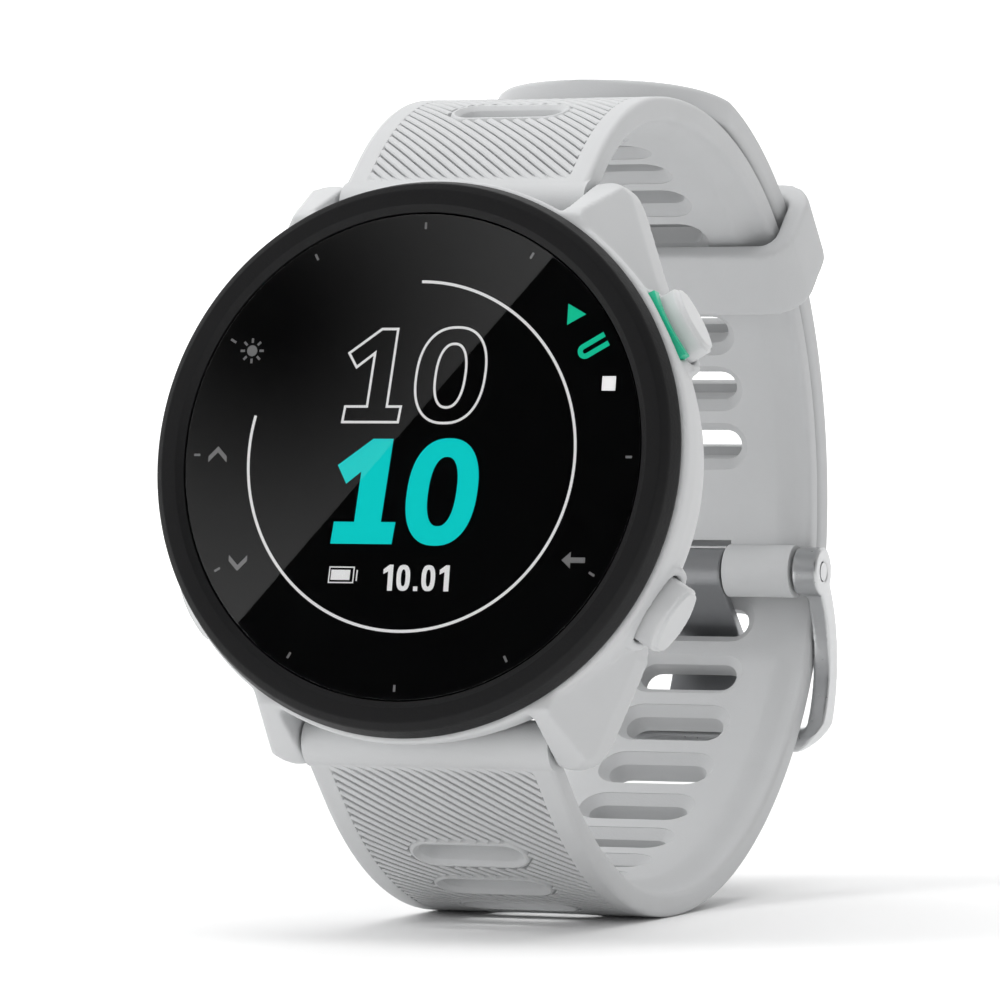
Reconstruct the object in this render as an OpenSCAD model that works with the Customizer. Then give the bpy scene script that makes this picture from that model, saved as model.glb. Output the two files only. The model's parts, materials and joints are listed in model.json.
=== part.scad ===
// GPS running watch, buckled shut and standing on its band.
// Row frame: +Z up, X along the wrist (3 o'clock side is +X), the dial looks towards -Y and a little up.
// The origin is the middle of the footprint, on the surface the band stands on.
// Shapes of the case are drawn in the dial frame: X to 3 o'clock, Y to 12 o'clock, Z out of the dial.
// Shapes of the band are drawn in the side frame: X away from the dial, Y up, Z along the wrist.

/* [Case] */
// How far the dial leans back from upright
tilt = 10; // [5:0.5:15]
// Radius of the bezel at its widest
bezel_r = 21; // [20.9:0.05:21.1]
// Radius of the case rim just behind the bezel
case_r = 21.3; // [21.2:0.05:21.4]
// Radius of the space inside the case
cavity_r = 17.9; // [17.8:0.05:18]
// Radius of the lens
lens_r = 18.25; // [18.1:0.05:18.3]
// Radius of the window that shows the display
window_r = 13.4; // [13.2:0.1:13.6]
// Height of the bezel's face in front of its widest circle
bezel_h = 1.6; // [1.5:0.05:1.7]
// Depth of the back of the case behind the bezel's widest circle
case_d = 9.4; // [9.4:0.05:9.6]

/* [Lugs] */
// Gap between the lugs at one end, the band's fitting width plus play
lug_gap = 20.5; // [20.4:0.1:20.8]
// Half width over the lugs where they leave the case
lug_out = 15.9; // [15.8:0.1:16]
// Half width over the lugs at their tips
lug_tip = 12.8; // [12.7:0.1:13]
// Distance of a lug's tip from the middle of the dial
lug_reach = 22.2; // [22:0.1:22.4]
// Distance of a spring bar from the middle of the dial
bar_y = 20.5; // [20.4:0.05:20.6]
// Depth of a spring bar behind the bezel's widest circle
bar_d = 7; // [6.95:0.05:7.1]
// Radius of a spring bar
bar_r = 0.75; // [0.7:0.01:0.76]

/* [Buttons] */
// Length of a button cap round the case
cap_l = 5.4; // [5.2:0.1:5.6]
// Width of a button cap
cap_w = 4; // [3.8:0.1:4.2]
// Distance of the faces of the three caps on the 9 o'clock side from the middle of the dial
cap_r = 22.3; // [22.1:0.1:22.5]
// Distance of the faces of the start and back caps from the middle of the dial
start_cap_r = 22.8; // [22.6:0.1:22.9]
// Depth of the button axes behind the bezel's widest circle
button_d = 4.8; // [4.75:0.05:4.85]
// Radius of a button stem
stem_r = 0.75; // [0.7:0.01:0.77]

/* [Band] */
// Width of the band
band_w = 20; // [19.6:0.1:20]
// Thickness of the band down its middle
band_t = 2.85; // [2.6:0.05:2.9]
// Thickness of the tail that lies over the other strap
tail_t = 2.2; // [2:0.05:2.2]
// Outer radius of the upper strap where it bends round the wrist
upper_r = 31.25; // [31.2:0.01:31.27]
// Outer radius of the tail
tail_r = 33.8; // [33.75:0.05:33.9]
// Width of an adjustment slot
slot_w = 2.7; // [2.6:0.05:2.8]
// Length of an adjustment slot
slot_l = 8; // [7.6:0.1:8.2]
// Angle of the keeper round the bend, from level
keeper_a = 41.4; // [38:0.2:46]
// Length of the keeper along the band
keeper_l = 6.4; // [6:0.1:6.6]
// Radius of the buckle pin
pin_r = 0.75; // [0.72:0.01:0.77]

/* [Hidden] */
$fn = 96;

// A bend of the band runs into the next by this angle, and is this much slimmer there, so that the two join
join_a = 0.6;
slim = 0.02;

// Smallest overlap that makes two solids join or a cut break through
eps = 0.05;

// Where the sides of the lugs start to close in, and the rounding of their tips
lug_root_y = 14;
lug_corner = 2.2;
lug_lean = 2.9;
lug_lean_d = 6.8;

// Clock angle of each button, in degrees from 12 o'clock towards 3 o'clock
start_clock = 60;
back_clock = 120;
light_clock = 300;
up_clock = 270;
down_clock = 240;
button_clocks = [start_clock, back_clock, light_clock, up_clock, down_clock];

// Depths inside the case, along the dial frame's Z
lens_top = 1.18;
lens_back = 0.28;
mask_back = 0.14;
ledge_z = 0;
rim_z = -0.55;
spigot_z = -1.4;
panel_top = -0.05;
panel_back = -1.3;
light_back = -2;
frame_back = -2.4;
board_top = -3.1;
board_back = -3.9;
floor_z = -8.5;
plateau_z = -9.8;
window_z = -10;

// Button train, as distances from the middle of the dial
pocket_r = 19.55;
flank_r = 3.6;
cap_back_r = 20.25;
guide_r = 17.2;
clip_r = 16.85;
stem_end_r = 16.5;
switch_r = 15.85;
seal_r = 18.4;
bore_gap = 0.05;
boss_r = 1.6;
groove_r = 0.45;
seal_wire = 0.16;

// Screws that hold the back cover and the board
ear_xy = 13.4;
ear_r = 1.9;
back_screw_r = 0.5;
board_screw_angles = [0, 90, 270];
board_screw_r = 15.1;

// Bend centres of the band in the side frame, measured from the middle of the dial. Each bend is
// tangent to the next, so its centre lies on the line through the shared point and the last centre.
bend = [30, -4.2];
function next_bend(c, r_old, r_new, a) = c + (r_old - r_new) * [cos(a), sin(a)];
heel_r = 29.2;
heel_a = -44;
foot_r = 37.5;
foot_a = -91;
toe_r = 32;
toe_a = -136;
crown_r = 38;
crown_a = 64;
brow_r = 21;
brow_a = 95;
brow_end_a = 130;
heel = next_bend(bend, tail_r, heel_r, 0);
foot = next_bend(heel, heel_r, foot_r, heel_a);
toe = next_bend(foot, foot_r, toe_r, foot_a);
crown = next_bend(bend, upper_r, crown_r, crown_a);
brow = next_bend(crown, crown_r, brow_r, brow_a);
upper_end_a = -8;
thick_a = -27;
tip_a = 85;
tip_r = 10.4;

// Slots: angles of the first one on each bend, and the step between them
upper_slots = [for (k = [0:5]) 9.2 + 9.85 * k];
crown_slots = [for (k = [0:3]) 67.6 + 8.2 * k];
brow_slots = [109.1];
tail_slots = [for (k = [0:7]) 0.6 + 9.42 * k];
heel_slots = [for (k = [0:3]) -10.35 - 11 * k];
foot_slots = [for (k = [0:4]) -52.1 - 8.6 * k];
toe_slots = [for (k = [0:3]) -94.6 - 9.95 * k];

// Buckle, in the side frame, measured from the middle of the dial
pin = [58, -9.9];
hub_r = 2.15;
hub_w = 18.4;
notch_w = 6.9;
tongue_w = 6.3;
tongue_t = 0.9;
curl_r = 1.4;
arm_in = 10.15;
arm_out = 11.6;
eye_in = 9.45;
eye_r = 2;
arm_bend = [50.4, -17.2];
arm_r = 10.1;
arm_w = 2.1;
arm_a = 44;
arm_end_a = 40;
frame_bar_r = 1.05;
frame_corner = 4.2;
pin_gap = 0.05;

// Blade of the tongue: straight out of the curl through a slot, round a bend, then down over the bar
blade_slot_a = heel_slots[1];
blade_slot = heel + (heel_r - tail_t / 2) * [cos(blade_slot_a), sin(blade_slot_a)];
blade_to_pin = pin - blade_slot;
blade_a = atan2(blade_to_pin[1], blade_to_pin[0]) + asin(curl_r / norm(blade_to_pin)) - 180;
blade_run = sqrt(pow(norm(blade_to_pin), 2) - curl_r * curl_r);
blade_out = 2.4;
blade_bend_r = 1.5;
blade_turn = 73;
blade_end = 9.6;
function along(a) = [cos(a), sin(a)];
blade_root = blade_slot - blade_run * along(blade_a);
blade_knee = blade_slot + blade_out * along(blade_a);
blade_knee_c = blade_knee + blade_bend_r * along(blade_a - 90);
blade_last_a = blade_a - blade_turn;
blade_tail = blade_knee_c + blade_bend_r * along(blade_last_a + 90);

// Keeper, as radii from the bend centre
keeper_hole_in = 27.95;
keeper_hole_out = 34.15;
keeper_in = 26.45;
keeper_out = 35.75;
keeper_half = 12.1;
keeper_hole_half = 10.3;
keeper_corner = 3;
keeper_hole_corner = 1.2;

// Place of the middle of the dial in the row frame
front_reach = bezel_h * cos(tilt) + (bezel_r - 0.8) * sin(tilt);
rear_reach = bend[0] + tail_r;
dial_x = (cap_r - case_r) / 2;
dial_y = (front_reach - rear_reach) / 2;
dial_z = foot_r - foot[1];

// ---- frames ----

module in_dial() {
    translate([dial_x, dial_y, dial_z]) rotate([90 - tilt, 0, 0]) children();
}

module in_side() {
    translate([dial_x, dial_y, dial_z]) rotate([90, 0, 90]) children();
}

// Local Z points away from the middle of the dial along a button's axis, local X runs round the case
module at_button(clock) {
    in_dial() translate([0, 0, -button_d]) rotate([0, 0, -clock]) rotate([-90, 0, 0]) children();
}

// ---- shared shapes ----

module disc(r, z0, z1) {
    translate([0, 0, z0]) cylinder(h = z1 - z0, r = r);
}

module ring(r_in, r_out, z0, z1) {
    difference() {
        disc(r_out, z0, z1);
        disc(r_in, z0 - eps, z1 + eps);
    }
}

module pill(l, w, h) {
    linear_extrude(h) union() {
        square([l - w, w], center = true);
        for (s = [-1, 1]) translate([s * (l - w) / 2, 0]) circle(d = w);
    }
}

// Outline of a button cap, grown by the given amount: two shallow arcs with blunt round ends
module oval(grow, h) {
    linear_extrude(h) intersection() {
        translate([0, flank_r - cap_w / 2]) circle(flank_r + grow);
        translate([0, cap_w / 2 - flank_r]) circle(flank_r + grow);
        circle(cap_l / 2 + grow);
    }
}

module rounded_plate(size, r, h) {
    linear_extrude(h) union() {
        square([size[0] - 2 * r, size[1]], center = true);
        square([size[0], size[1] - 2 * r], center = true);
        for (x = [-1, 1], y = [-1, 1]) translate([x * (size[0] / 2 - r), y * (size[1] / 2 - r)]) circle(r);
    }
}

module at_corners() {
    for (x = [-1, 1], y = [-1, 1]) scale_flip(x, y) children();
}

module scale_flip(x, y) {
    mirror([x < 0 ? 1 : 0, 0, 0]) mirror([0, y < 0 ? 1 : 0, 0]) children();
}

// ---- case ----

module case_ring() {
    rotate_extrude() polygon([
        [cavity_r, floor_z], [cavity_r, spigot_z - 0.05], [20.05, spigot_z - 0.05], [20.05, rim_z],
        [case_r - 0.1, rim_z], [case_r, rim_z - 0.15], [case_r, -1.3], [21, -3.4], [20.3, -6.6],
        [19.5, -case_d + 0.3], [19.2, -case_d], [18.7, -case_d], [18.7, floor_z]]);
}

// One horn, outside the case ring: it narrows to a round tip seen from the dial, and is cut to its side outline
module lug_horn() {
    side_a = atan2(lug_out - lug_tip, lug_reach - lug_root_y);
    tip_y = lug_reach - lug_corner;
    tip_x = lug_tip + lug_corner * tan(side_a) - lug_corner / cos(side_a);
    intersection() {
        translate([0, 0, -12]) linear_extrude(12) difference() {
            union() {
                polygon([
                    [lug_gap / 2, 8], [lug_out, 8], [lug_out, lug_root_y],
                    [tip_x + lug_corner * cos(side_a), tip_y + lug_corner * sin(side_a)],
                    [tip_x, tip_y], [lug_gap / 2, tip_y]]);
                translate([tip_x, tip_y]) circle(lug_corner);
            }
            translate([lug_gap / 2 - 5, 8]) square([5, 20]);
        }
        // the outer side leans in towards the dial
        translate([lug_out, lug_root_y, 0]) rotate([0, 0, side_a]) rotate([90, 0, 0]) translate([0, 0, -20])
            linear_extrude(40) polygon([
                [-20, -13], [1, -13], [1, -lug_lean_d], [0, -lug_lean_d], [-lug_lean, 1], [-20, 1]]);
        rotate([90, 0, 90]) linear_extrude(20) polygon([
            [8, rim_z], [18.6, rim_z], [19.1, -1.1], [lug_reach, -7], [lug_reach, -8.1],
            [lug_reach - 0.7, -8.9], [19.6, -case_d], [8, -case_d]]);
    }
}

module button_surround(clock) {
    rotate([0, 0, -clock]) rotate([-90, 0, 0]) intersection() {
        translate([0, 0, pocket_r - 0.6]) oval(0.9, 3);
        rotate([90, 0, 0]) translate([0, 0, -6]) cylinder(h = 12, r = 21.25);
    }
}

module mid_case() {
    color("gainsboro") in_dial() difference() {
        union() {
            case_ring();
            difference() {
                at_corners() lug_horn();
                disc(cavity_r + 1, -12, 1);
            }
            for (c = button_clocks) translate([0, 0, -button_d]) button_surround(c);
            for (c = button_clocks) translate([0, 0, -button_d]) rotate([0, 0, -c]) rotate([-90, 0, 0])
                translate([0, 0, guide_r]) cylinder(h = 1.6, r = boss_r);
        }
        // space for the bezel
        disc(bezel_r - 0.95, spigot_z - 0.05, 1);
        disc(bezel_r + 0.12, rim_z, 1);
        // pockets and guide bores of the buttons
        for (c = button_clocks) translate([0, 0, -button_d]) rotate([0, 0, -c]) rotate([-90, 0, 0]) {
            translate([0, 0, pocket_r]) oval(0.15, 4);
            translate([0, 0, guide_r - 1]) cylinder(h = 5, r = stem_r + bore_gap);
        }
        collar_shape(0.06);
        // scoops for the ends of the band, and the sockets of the spring bars
        for (s = [-1, 1]) translate([0, s * bar_y, -bar_d]) rotate([0, 90, 0]) {
            cylinder(h = lug_gap, r = 2.15, center = true);
            cylinder(h = 2 * 12.4, r = 0.5, center = true);
        }
        // ears of the back cover and their screws
        at_corners() translate([ear_xy, ear_xy, 0]) {
            disc(ear_r + 0.1, -12, floor_z);
            disc(back_screw_r + 0.02, -12, -5.4);
        }
        disc(18.7, -12, floor_z);
    }
}

module bezel() {
    color([0.1, 0.1, 0.1]) in_dial() rotate_extrude() polygon([
        [16.6, spigot_z], [20, spigot_z], [20, rim_z + 0.05], [bezel_r - 0.1, rim_z + 0.05],
        [bezel_r, rim_z + 0.15], [bezel_r, 0], [bezel_r - 0.3, 1.1], [bezel_r - 0.8, bezel_h],
        [18.95, bezel_h], [18.4, lens_top + 0.05], [18.35, lens_top], [18.35, ledge_z], [16.6, ledge_z]]);
}

module lens() {
    color([0.3, 0.32, 0.34, 0.5]) in_dial() rotate_extrude() polygon([
        [0, lens_back], [lens_r, lens_back], [lens_r, lens_top - 0.12], [lens_r - 0.12, lens_top], [0, lens_top]]);
}

module dial_mask() {
    color([0.03, 0.03, 0.03]) in_dial() ring(window_r, 18.1, mask_back, lens_back);
}

module lens_adhesive() {
    color([0.2, 0.2, 0.2]) in_dial() ring(16.8, 18, ledge_z, mask_back);
}

module optical_bond() {
    color([0.8, 0.85, 0.9, 0.4]) in_dial() disc(window_r - 0.05, panel_top, lens_back);
}

module display_panel() {
    color([0.07, 0.09, 0.1]) in_dial() disc(14.2, panel_back, panel_top);
}

module backlight() {
    color("white") in_dial() disc(14.2, light_back, panel_back);
}

module display_frame() {
    color([0.25, 0.25, 0.25]) in_dial() difference() {
        disc(16.4, frame_back, panel_top - 0.1);
        disc(14.3, light_back, 1);
        translate([-4.2, -12.8, frame_back - 1]) cube([8.4, 0.6, 2]);
    }
}

module display_flex() {
    color("darkorange") in_dial() translate([-4, -12.6, board_top]) cube([8, 0.2, light_back - board_top]);
}

module main_board() {
    color("darkgreen") in_dial() difference() {
        disc(16.1, board_back, board_top);
        for (a = board_screw_angles) rotate([0, 0, a]) translate([board_screw_r, 0, 0]) disc(0.45, -5, 0);
    }
}

// Each screw passes the board and holds in the display frame's rim
module board_screws() {
    color("silver") in_dial() for (a = board_screw_angles) rotate([0, 0, a]) translate([board_screw_r, 0, 0]) {
        disc(0.4, board_back - eps, frame_back);
        disc(0.8, board_back - 0.4, board_back);
    }
}

module shield_cans() {
    color("silver") in_dial() {
        translate([-9.5, -1, board_back - 1.1]) cube([9, 8, 1.1]);
        translate([1, -1, board_back - 1.1]) cube([8, 8, 1.1]);
        translate([-5, -8.5, board_back - 0.9]) cube([10, 6, 0.9]);
    }
}

module gps_antenna() {
    color("goldenrod") in_dial() rotate([0, 0, 48]) rotate_extrude(angle = 84) translate([16.9, -3]) square([0.9, 1.4]);
}

module tact_switches() {
    color("dimgray") for (c = button_clocks) at_button(c) {
        translate([-1.5, -button_d - board_back, 14.5]) cube([3, 1.8, 1]);
        translate([0, 0, 15.5 - eps]) cylinder(h = switch_r - 15.5 + eps, r = 0.6);
    }
}

module battery() {
    color("lightslategray") in_dial() translate([0, 1.5, -7.8]) rounded_plate([21.6, 18], 2.5, 2.6);
}

module vibration_motor() {
    color("silver") in_dial() translate([0, -12.9, 0]) disc(4, -7.8, -5.2);
}

module buzzer() {
    color("goldenrod") in_dial() translate([0, 14, 0]) {
        disc(3.2, -8, -7.7);
        disc(2.4, -7.7 - eps, -7.4);
    }
}

module sensor_board() {
    color("darkgreen") in_dial() disc(6.5, -8.4, -7.9);
}

module sensor_leds() {
    color("palegreen") in_dial() {
        translate([-0.9, -0.9, -8.95]) cube([1.8, 1.8, 0.55]);
        for (a = [90, 210, 330]) rotate([0, 0, a]) translate([2, -0.6, -8.95]) cube([1.4, 1.2, 0.55]);
    }
}

module sensor_window() {
    color([0.04, 0.04, 0.05]) in_dial() rotate_extrude() polygon([
        [0, window_z], [5.2, window_z], [5.6, window_z + 0.2], [5.6, -9.45], [0, -9.45]]);
}

module charging_contacts() {
    color("gold") in_dial() for (k = [-1.5, -0.5, 0.5, 1.5]) translate([1.9 * k, -13.2, 0]) {
        disc(0.5, -9.15, -8.2);
        disc(0.8, -8.3, -8.2);
    }
}

module back_cover() {
    color([0.75, 0.75, 0.76]) in_dial() difference() {
        union() {
            disc(18.6, -case_d, floor_z);
            at_corners() translate([ear_xy, ear_xy, 0]) disc(ear_r, -case_d, floor_z);
            rotate_extrude() polygon([[0, -9], [10.6, -9], [10.6, -case_d], [9.6, plateau_z], [0, plateau_z]]);
        }
        disc(4.6, -11, -8);
        disc(5.65, -11, -9.45);
        ring(17.98, 18.52, -9.02, -8);
        at_corners() translate([ear_xy, ear_xy, 0]) {
            disc(back_screw_r + 0.1, -11, -8);
            disc(1.15, -11, -9.05);
        }
        translate([0, -13.2, -11]) rounded_plate([8.6, 3.4], 1.2, 1.95);
        for (k = [-1.5, -0.5, 0.5, 1.5]) translate([1.9 * k, -13.2, 0]) disc(0.52, -11, -8);
    }
}

module case_gasket() {
    color([0.15, 0.15, 0.15]) in_dial() translate([0, 0, -8.76]) rotate_extrude() translate([18.25, 0]) circle(0.25, $fn = 24);
}

module back_screws() {
    color("silver") in_dial() at_corners() translate([ear_xy, ear_xy, 0]) difference() {
        union() {
            disc(back_screw_r, -9.1, -5.6);
            disc(1.05, -9.4, -9.05);
        }
        translate([0, 0, -9.45]) cylinder(h = 0.25, r = 0.5, $fn = 6);
    }
}

// ---- buttons ----

// Half ring that follows the dial side of the start button's pocket
module collar_shape(grow) {
    translate([0, 0, -button_d]) rotate([0, 0, -start_clock]) rotate([-90, 0, 0]) intersection() {
        difference() {
            translate([0, 0, 20.3 - grow]) oval(1.25 + grow, 1.15 + 2 * grow);
            translate([0, 0, 19]) oval(0.4 - grow, 4);
        }
        translate([-2.8 - grow, -5, 19]) cube([5.6 + 2 * grow, 4.3, 4]);
    }
}

module start_collar() {
    color([0, 0.7, 0.53]) in_dial() collar_shape(0);
}

module button(clock, face_r = cap_r) {
    color("gainsboro") at_button(clock) difference() {
        union() {
            translate([0, 0, cap_back_r]) oval(0, face_r - cap_back_r - 0.3);
            translate([0, 0, face_r - 0.3 - eps]) oval(-0.25, 0.3 + eps);
            translate([0, 0, stem_end_r]) cylinder(h = cap_back_r + eps - stem_end_r, r = stem_r);
        }
        translate([0, 0, seal_r - 0.2]) groove(0.4);
        translate([0, 0, clip_r]) groove(0.25);
    }
}

module groove(h) {
    difference() {
        cylinder(h = h, r = stem_r + 1);
        translate([0, 0, -eps]) cylinder(h = h + 2 * eps, r = groove_r);
    }
}

module start_button() { button(start_clock, start_cap_r); }
module back_button() { button(back_clock, start_cap_r); }
module light_button() { button(light_clock); }
module up_button() { button(up_clock); }
module down_button() { button(down_clock); }

// O-ring on a stem
module seal(clock) {
    color([0.15, 0.15, 0.15]) at_button(clock) translate([0, 0, seal_r]) rotate_extrude()
        translate([groove_r + seal_wire, 0]) circle(seal_wire, $fn = 20);
}

module start_seal() { seal(start_clock); }
module back_seal() { seal(back_clock); }
module light_seal() { seal(light_clock); }
module up_seal() { seal(up_clock); }
module down_seal() { seal(down_clock); }

// Retaining clip that stops a button from coming out
module clip(clock) {
    color("silver") at_button(clock) translate([0, 0, clip_r + 0.02]) difference() {
        cylinder(h = 0.2, r = 1.35);
        translate([0, 0, -eps]) cylinder(h = 1, r = groove_r + 0.02);
        translate([-0.32, 0, -eps]) cube([0.64, 2, 1]);
    }
}

module start_clip() { clip(start_clock); }
module back_clip() { clip(back_clock); }
module light_clip() { clip(light_clock); }
module up_clip() { clip(up_clock); }
module down_clip() { clip(down_clock); }

// ---- band ----

// Sprung bar with a thin tip in each lug
module spring_bar(s) {
    color("silver") in_dial() translate([0, s * bar_y, -bar_d]) rotate([0, 90, 0]) {
        cylinder(h = 20.2, r = bar_r, center = true);
        cylinder(h = 24, r = 0.45, center = true);
        for (e = [-1, 1]) translate([0, 0, e * 8.2]) cylinder(h = 0.4, r = bar_r + 0.04, center = true);
    }
}

module upper_spring_bar() { spring_bar(1); }
module lower_spring_bar() { spring_bar(-1); }

// Cross section of the band: radius across, wrist direction up. The outer face is at r = 0.
// The thick one is crowned on the wrist side.
module thick_section(inset = 0) {
    section(band_w / 2 - inset, inset, band_t - inset, 0.95, 2.8);
}

module thin_section(inset = 0) {
    section(band_w / 2 - inset, inset, tail_t - inset, 0.3, 0.3);
}

// Outline with small corner cuts outside, and cuts of the given rise and run on the wrist side
module section(half, out, in, rise, run) {
    cut = 0.4;
    polygon([
        [-out - cut, -half], [-out, -half + cut], [-out, half - cut], [-out - cut, half],
        [-in + rise, half], [-in, half - run], [-in, -half + run], [-in + rise, -half]]);
}

module bend_band(c, r, a0, a1) {
    translate(c) rotate([0, 0, a0]) rotate_extrude(angle = a1 - a0) translate([r, 0]) children();
}

// Straight run of the thick section, from an outer point, at right angles to the direction a
module straight_band(p, a, l) {
    translate(p) rotate([0, 0, a]) rotate([-90, 0, 0]) translate([0, 0, -0.3]) linear_extrude(l + 0.3) children();
}

module slots(c, r, angles) {
    for (a = angles) translate(c) rotate([0, 0, a]) translate([r - 4, 0, 0]) rotate([0, 90, 0]) pill(slot_l, slot_w, 6);
}

function bar_side(s) = [bar_d * cos(tilt) + s * bar_y * sin(tilt), s * bar_y * cos(tilt) - bar_d * sin(tilt)];

module barrel(s) {
    translate(bar_side(s)) cylinder(h = band_w, r = 1.9, center = true);
}

module barrel_bore(s) {
    translate(bar_side(s)) cylinder(h = band_w + 2, r = bar_r + 0.08, center = true);
}

// Length of the straight run from a bend's end to the point beside the spring bar
function run_to_bar(p, dir, s) = (bar_side(s) - p) * dir;

module upper_strap() {
    end_p = brow + brow_r * along(brow_end_a);
    color("gainsboro") in_side() difference() {
        union() {
            bend_band(bend, upper_r, upper_end_a, crown_a) thick_section();
            bend_band(crown, crown_r, crown_a - join_a, brow_a + join_a) thick_section(slim);
            bend_band(brow, brow_r, brow_a, brow_end_a) thick_section();
            straight_band(end_p, brow_end_a, run_to_bar(end_p, along(brow_end_a + 90), 1)) thick_section(slim);
            barrel(1);
            translate(pin) cylinder(h = hub_w, r = hub_r, center = true);
        }
        barrel_bore(1);
        slots(bend, upper_r, upper_slots);
        slots(crown, crown_r, crown_slots);
        slots(brow, brow_r, brow_slots);
        translate(pin) cylinder(h = 30, r = pin_r + 0.02, center = true);
        // notch for the tongue's curl, and room for the buckle's eyes beside the hub
        translate(pin + [-3.5, -3.5]) translate([0, 0, -notch_w / 2]) cube([7, 6, notch_w]);
        for (e = [-1, 1]) translate(pin) translate([0, 0, e * (hub_w / 2 + 2.5)]) cylinder(h = 5, r = 2.6, center = true);
    }
}

module lower_strap() {
    end_p = toe + toe_r * along(toe_a);
    color("gainsboro") in_side() difference() {
        union() {
            intersection() {
                bend_band(bend, tail_r, 0, tip_a) thin_section();
                tail_outline();
            }
            bend_band(heel, heel_r, thick_a - join_a, join_a) thin_section(slim);
            bend_band(heel, heel_r, heel_a, thick_a) thick_section();
            bend_band(foot, foot_r, foot_a - join_a, heel_a + join_a) thick_section(slim);
            bend_band(toe, toe_r, toe_a, foot_a) thick_section();
            straight_band(end_p, toe_a + 180, run_to_bar(end_p, along(toe_a - 90), -1)) mirror([1, 0]) thick_section(slim);
            barrel(-1);
        }
        barrel_bore(-1);
        slots(bend, tail_r, tail_slots);
        slots(heel, heel_r, heel_slots);
        slots(foot, foot_r, foot_slots);
        slots(toe, toe_r, toe_slots);
    }
}

// Plan of the tail: a straight strip with a round tip, cut down through the bend
module tail_outline() {
    tip_x = bend[0] + tail_r * cos(tip_a) + tip_r;
    translate([tip_x, -40, 0]) rotate([-90, 0, 0]) linear_extrude(80) union() {
        circle(tip_r);
        translate([0, -band_w / 2 - 1]) square([40, band_w + 2]);
    }
}

// Loop that holds the tail, open along the band
module keeper() {
    color("gainsboro") in_side() translate(bend) rotate([0, 0, keeper_a]) rotate([90, 0, 0])
        difference() {
            loop_block(keeper_in, keeper_out, keeper_half, keeper_corner, keeper_l);
            loop_block(keeper_hole_in, keeper_hole_out, keeper_hole_half, keeper_hole_corner, keeper_l + 1);
        }
}

// Block from x0 to x1 and from -half to half, centred along its length, with rounded corners
module loop_block(x0, x1, half, r, l) {
    translate([(x0 + x1) / 2, 0, -l / 2]) rounded_plate([x1 - x0, 2 * half], r, l);
}

module buckle_pin() {
    color("silver") in_side() translate(pin) cylinder(h = 2 * arm_out, r = pin_r, center = true);
}

module buckle_frame() {
    bar_at = arm_bend + arm_r * along(-arm_end_a);
    color("silver") in_side() difference() {
        intersection() {
            union() {
                for (e = [0, 1]) mirror([0, 0, e]) {
                    translate([0, 0, arm_in]) bend_arm();
                    translate(pin) translate([0, 0, eye_in]) cylinder(h = arm_out - eye_in, r = eye_r);
                }
                translate(bar_at) cylinder(h = 2 * arm_out, r = frame_bar_r, center = true);
            }
            frame_outline(arm_out + 0.3, bar_at[1] - frame_bar_r - 0.3);
        }
        translate(pin) cylinder(h = 40, r = pin_r + pin_gap, center = true);
    }
}

// Outline of the frame seen from behind: straight sides with rounded corners at the bottom
module frame_outline(half, low) {
    rotate([0, -90, 0]) translate([0, low + frame_corner, -80]) linear_extrude(80) union() {
        translate([-half, 0]) square([2 * half, 40]);
        translate([frame_corner - half, -frame_corner]) square([2 * (half - frame_corner), 10]);
        for (s = [-1, 1]) translate([s * (half - frame_corner), 0]) circle(frame_corner);
    }
}

module bend_arm() {
    translate(arm_bend) rotate([0, 0, -arm_end_a]) rotate_extrude(angle = arm_a + arm_end_a)
        translate([arm_r - arm_w / 2, 0]) square([arm_w, arm_out - arm_in]);
}

// Points of the blade's side outline, at a distance from its middle line
function blade_side(d) = concat(
    [blade_root + d * along(blade_a + 90)],
    [for (k = [0:8]) blade_knee_c + (blade_bend_r + d) * along(blade_a + 90 - blade_turn * k / 8)],
    [blade_tail + blade_end * along(blade_last_a) + d * along(blade_last_a + 90)]);

module buckle_tongue() {
    half_t = tongue_t / 2;
    near = blade_side(-half_t);
    color("silver") in_side() difference() {
        union() {
            translate(pin) cylinder(h = tongue_w, r = curl_r + half_t, center = true);
            translate([0, 0, -tongue_w / 2]) linear_extrude(tongue_w)
                polygon(concat(blade_side(half_t), [for (k = [len(near) - 1:-1:0]) near[k]]));
        }
        translate(pin) cylinder(h = 20, r = pin_r + pin_gap, center = true);
    }
}

// ---- nodes ----

mid_case();
bezel();
lens();
dial_mask();
lens_adhesive();
optical_bond();
display_panel();
backlight();
display_frame();
display_flex();
main_board();
board_screws();
shield_cans();
gps_antenna();
tact_switches();
battery();
vibration_motor();
buzzer();
sensor_board();
sensor_leds();
sensor_window();
charging_contacts();
back_cover();
case_gasket();
back_screws();
start_collar();
start_button();
back_button();
light_button();
up_button();
down_button();
start_seal();
back_seal();
light_seal();
up_seal();
down_seal();
start_clip();
back_clip();
light_clip();
up_clip();
down_clip();
upper_spring_bar();
lower_spring_bar();
upper_strap();
lower_strap();
keeper();
buckle_pin();
buckle_frame();
buckle_tongue();
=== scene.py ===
import json
from bisect import bisect_left
from math import acos, atan2, cos, degrees, hypot, pi, radians, sin, sqrt

import bmesh
import bpy
from mathutils import Matrix, Vector


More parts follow.
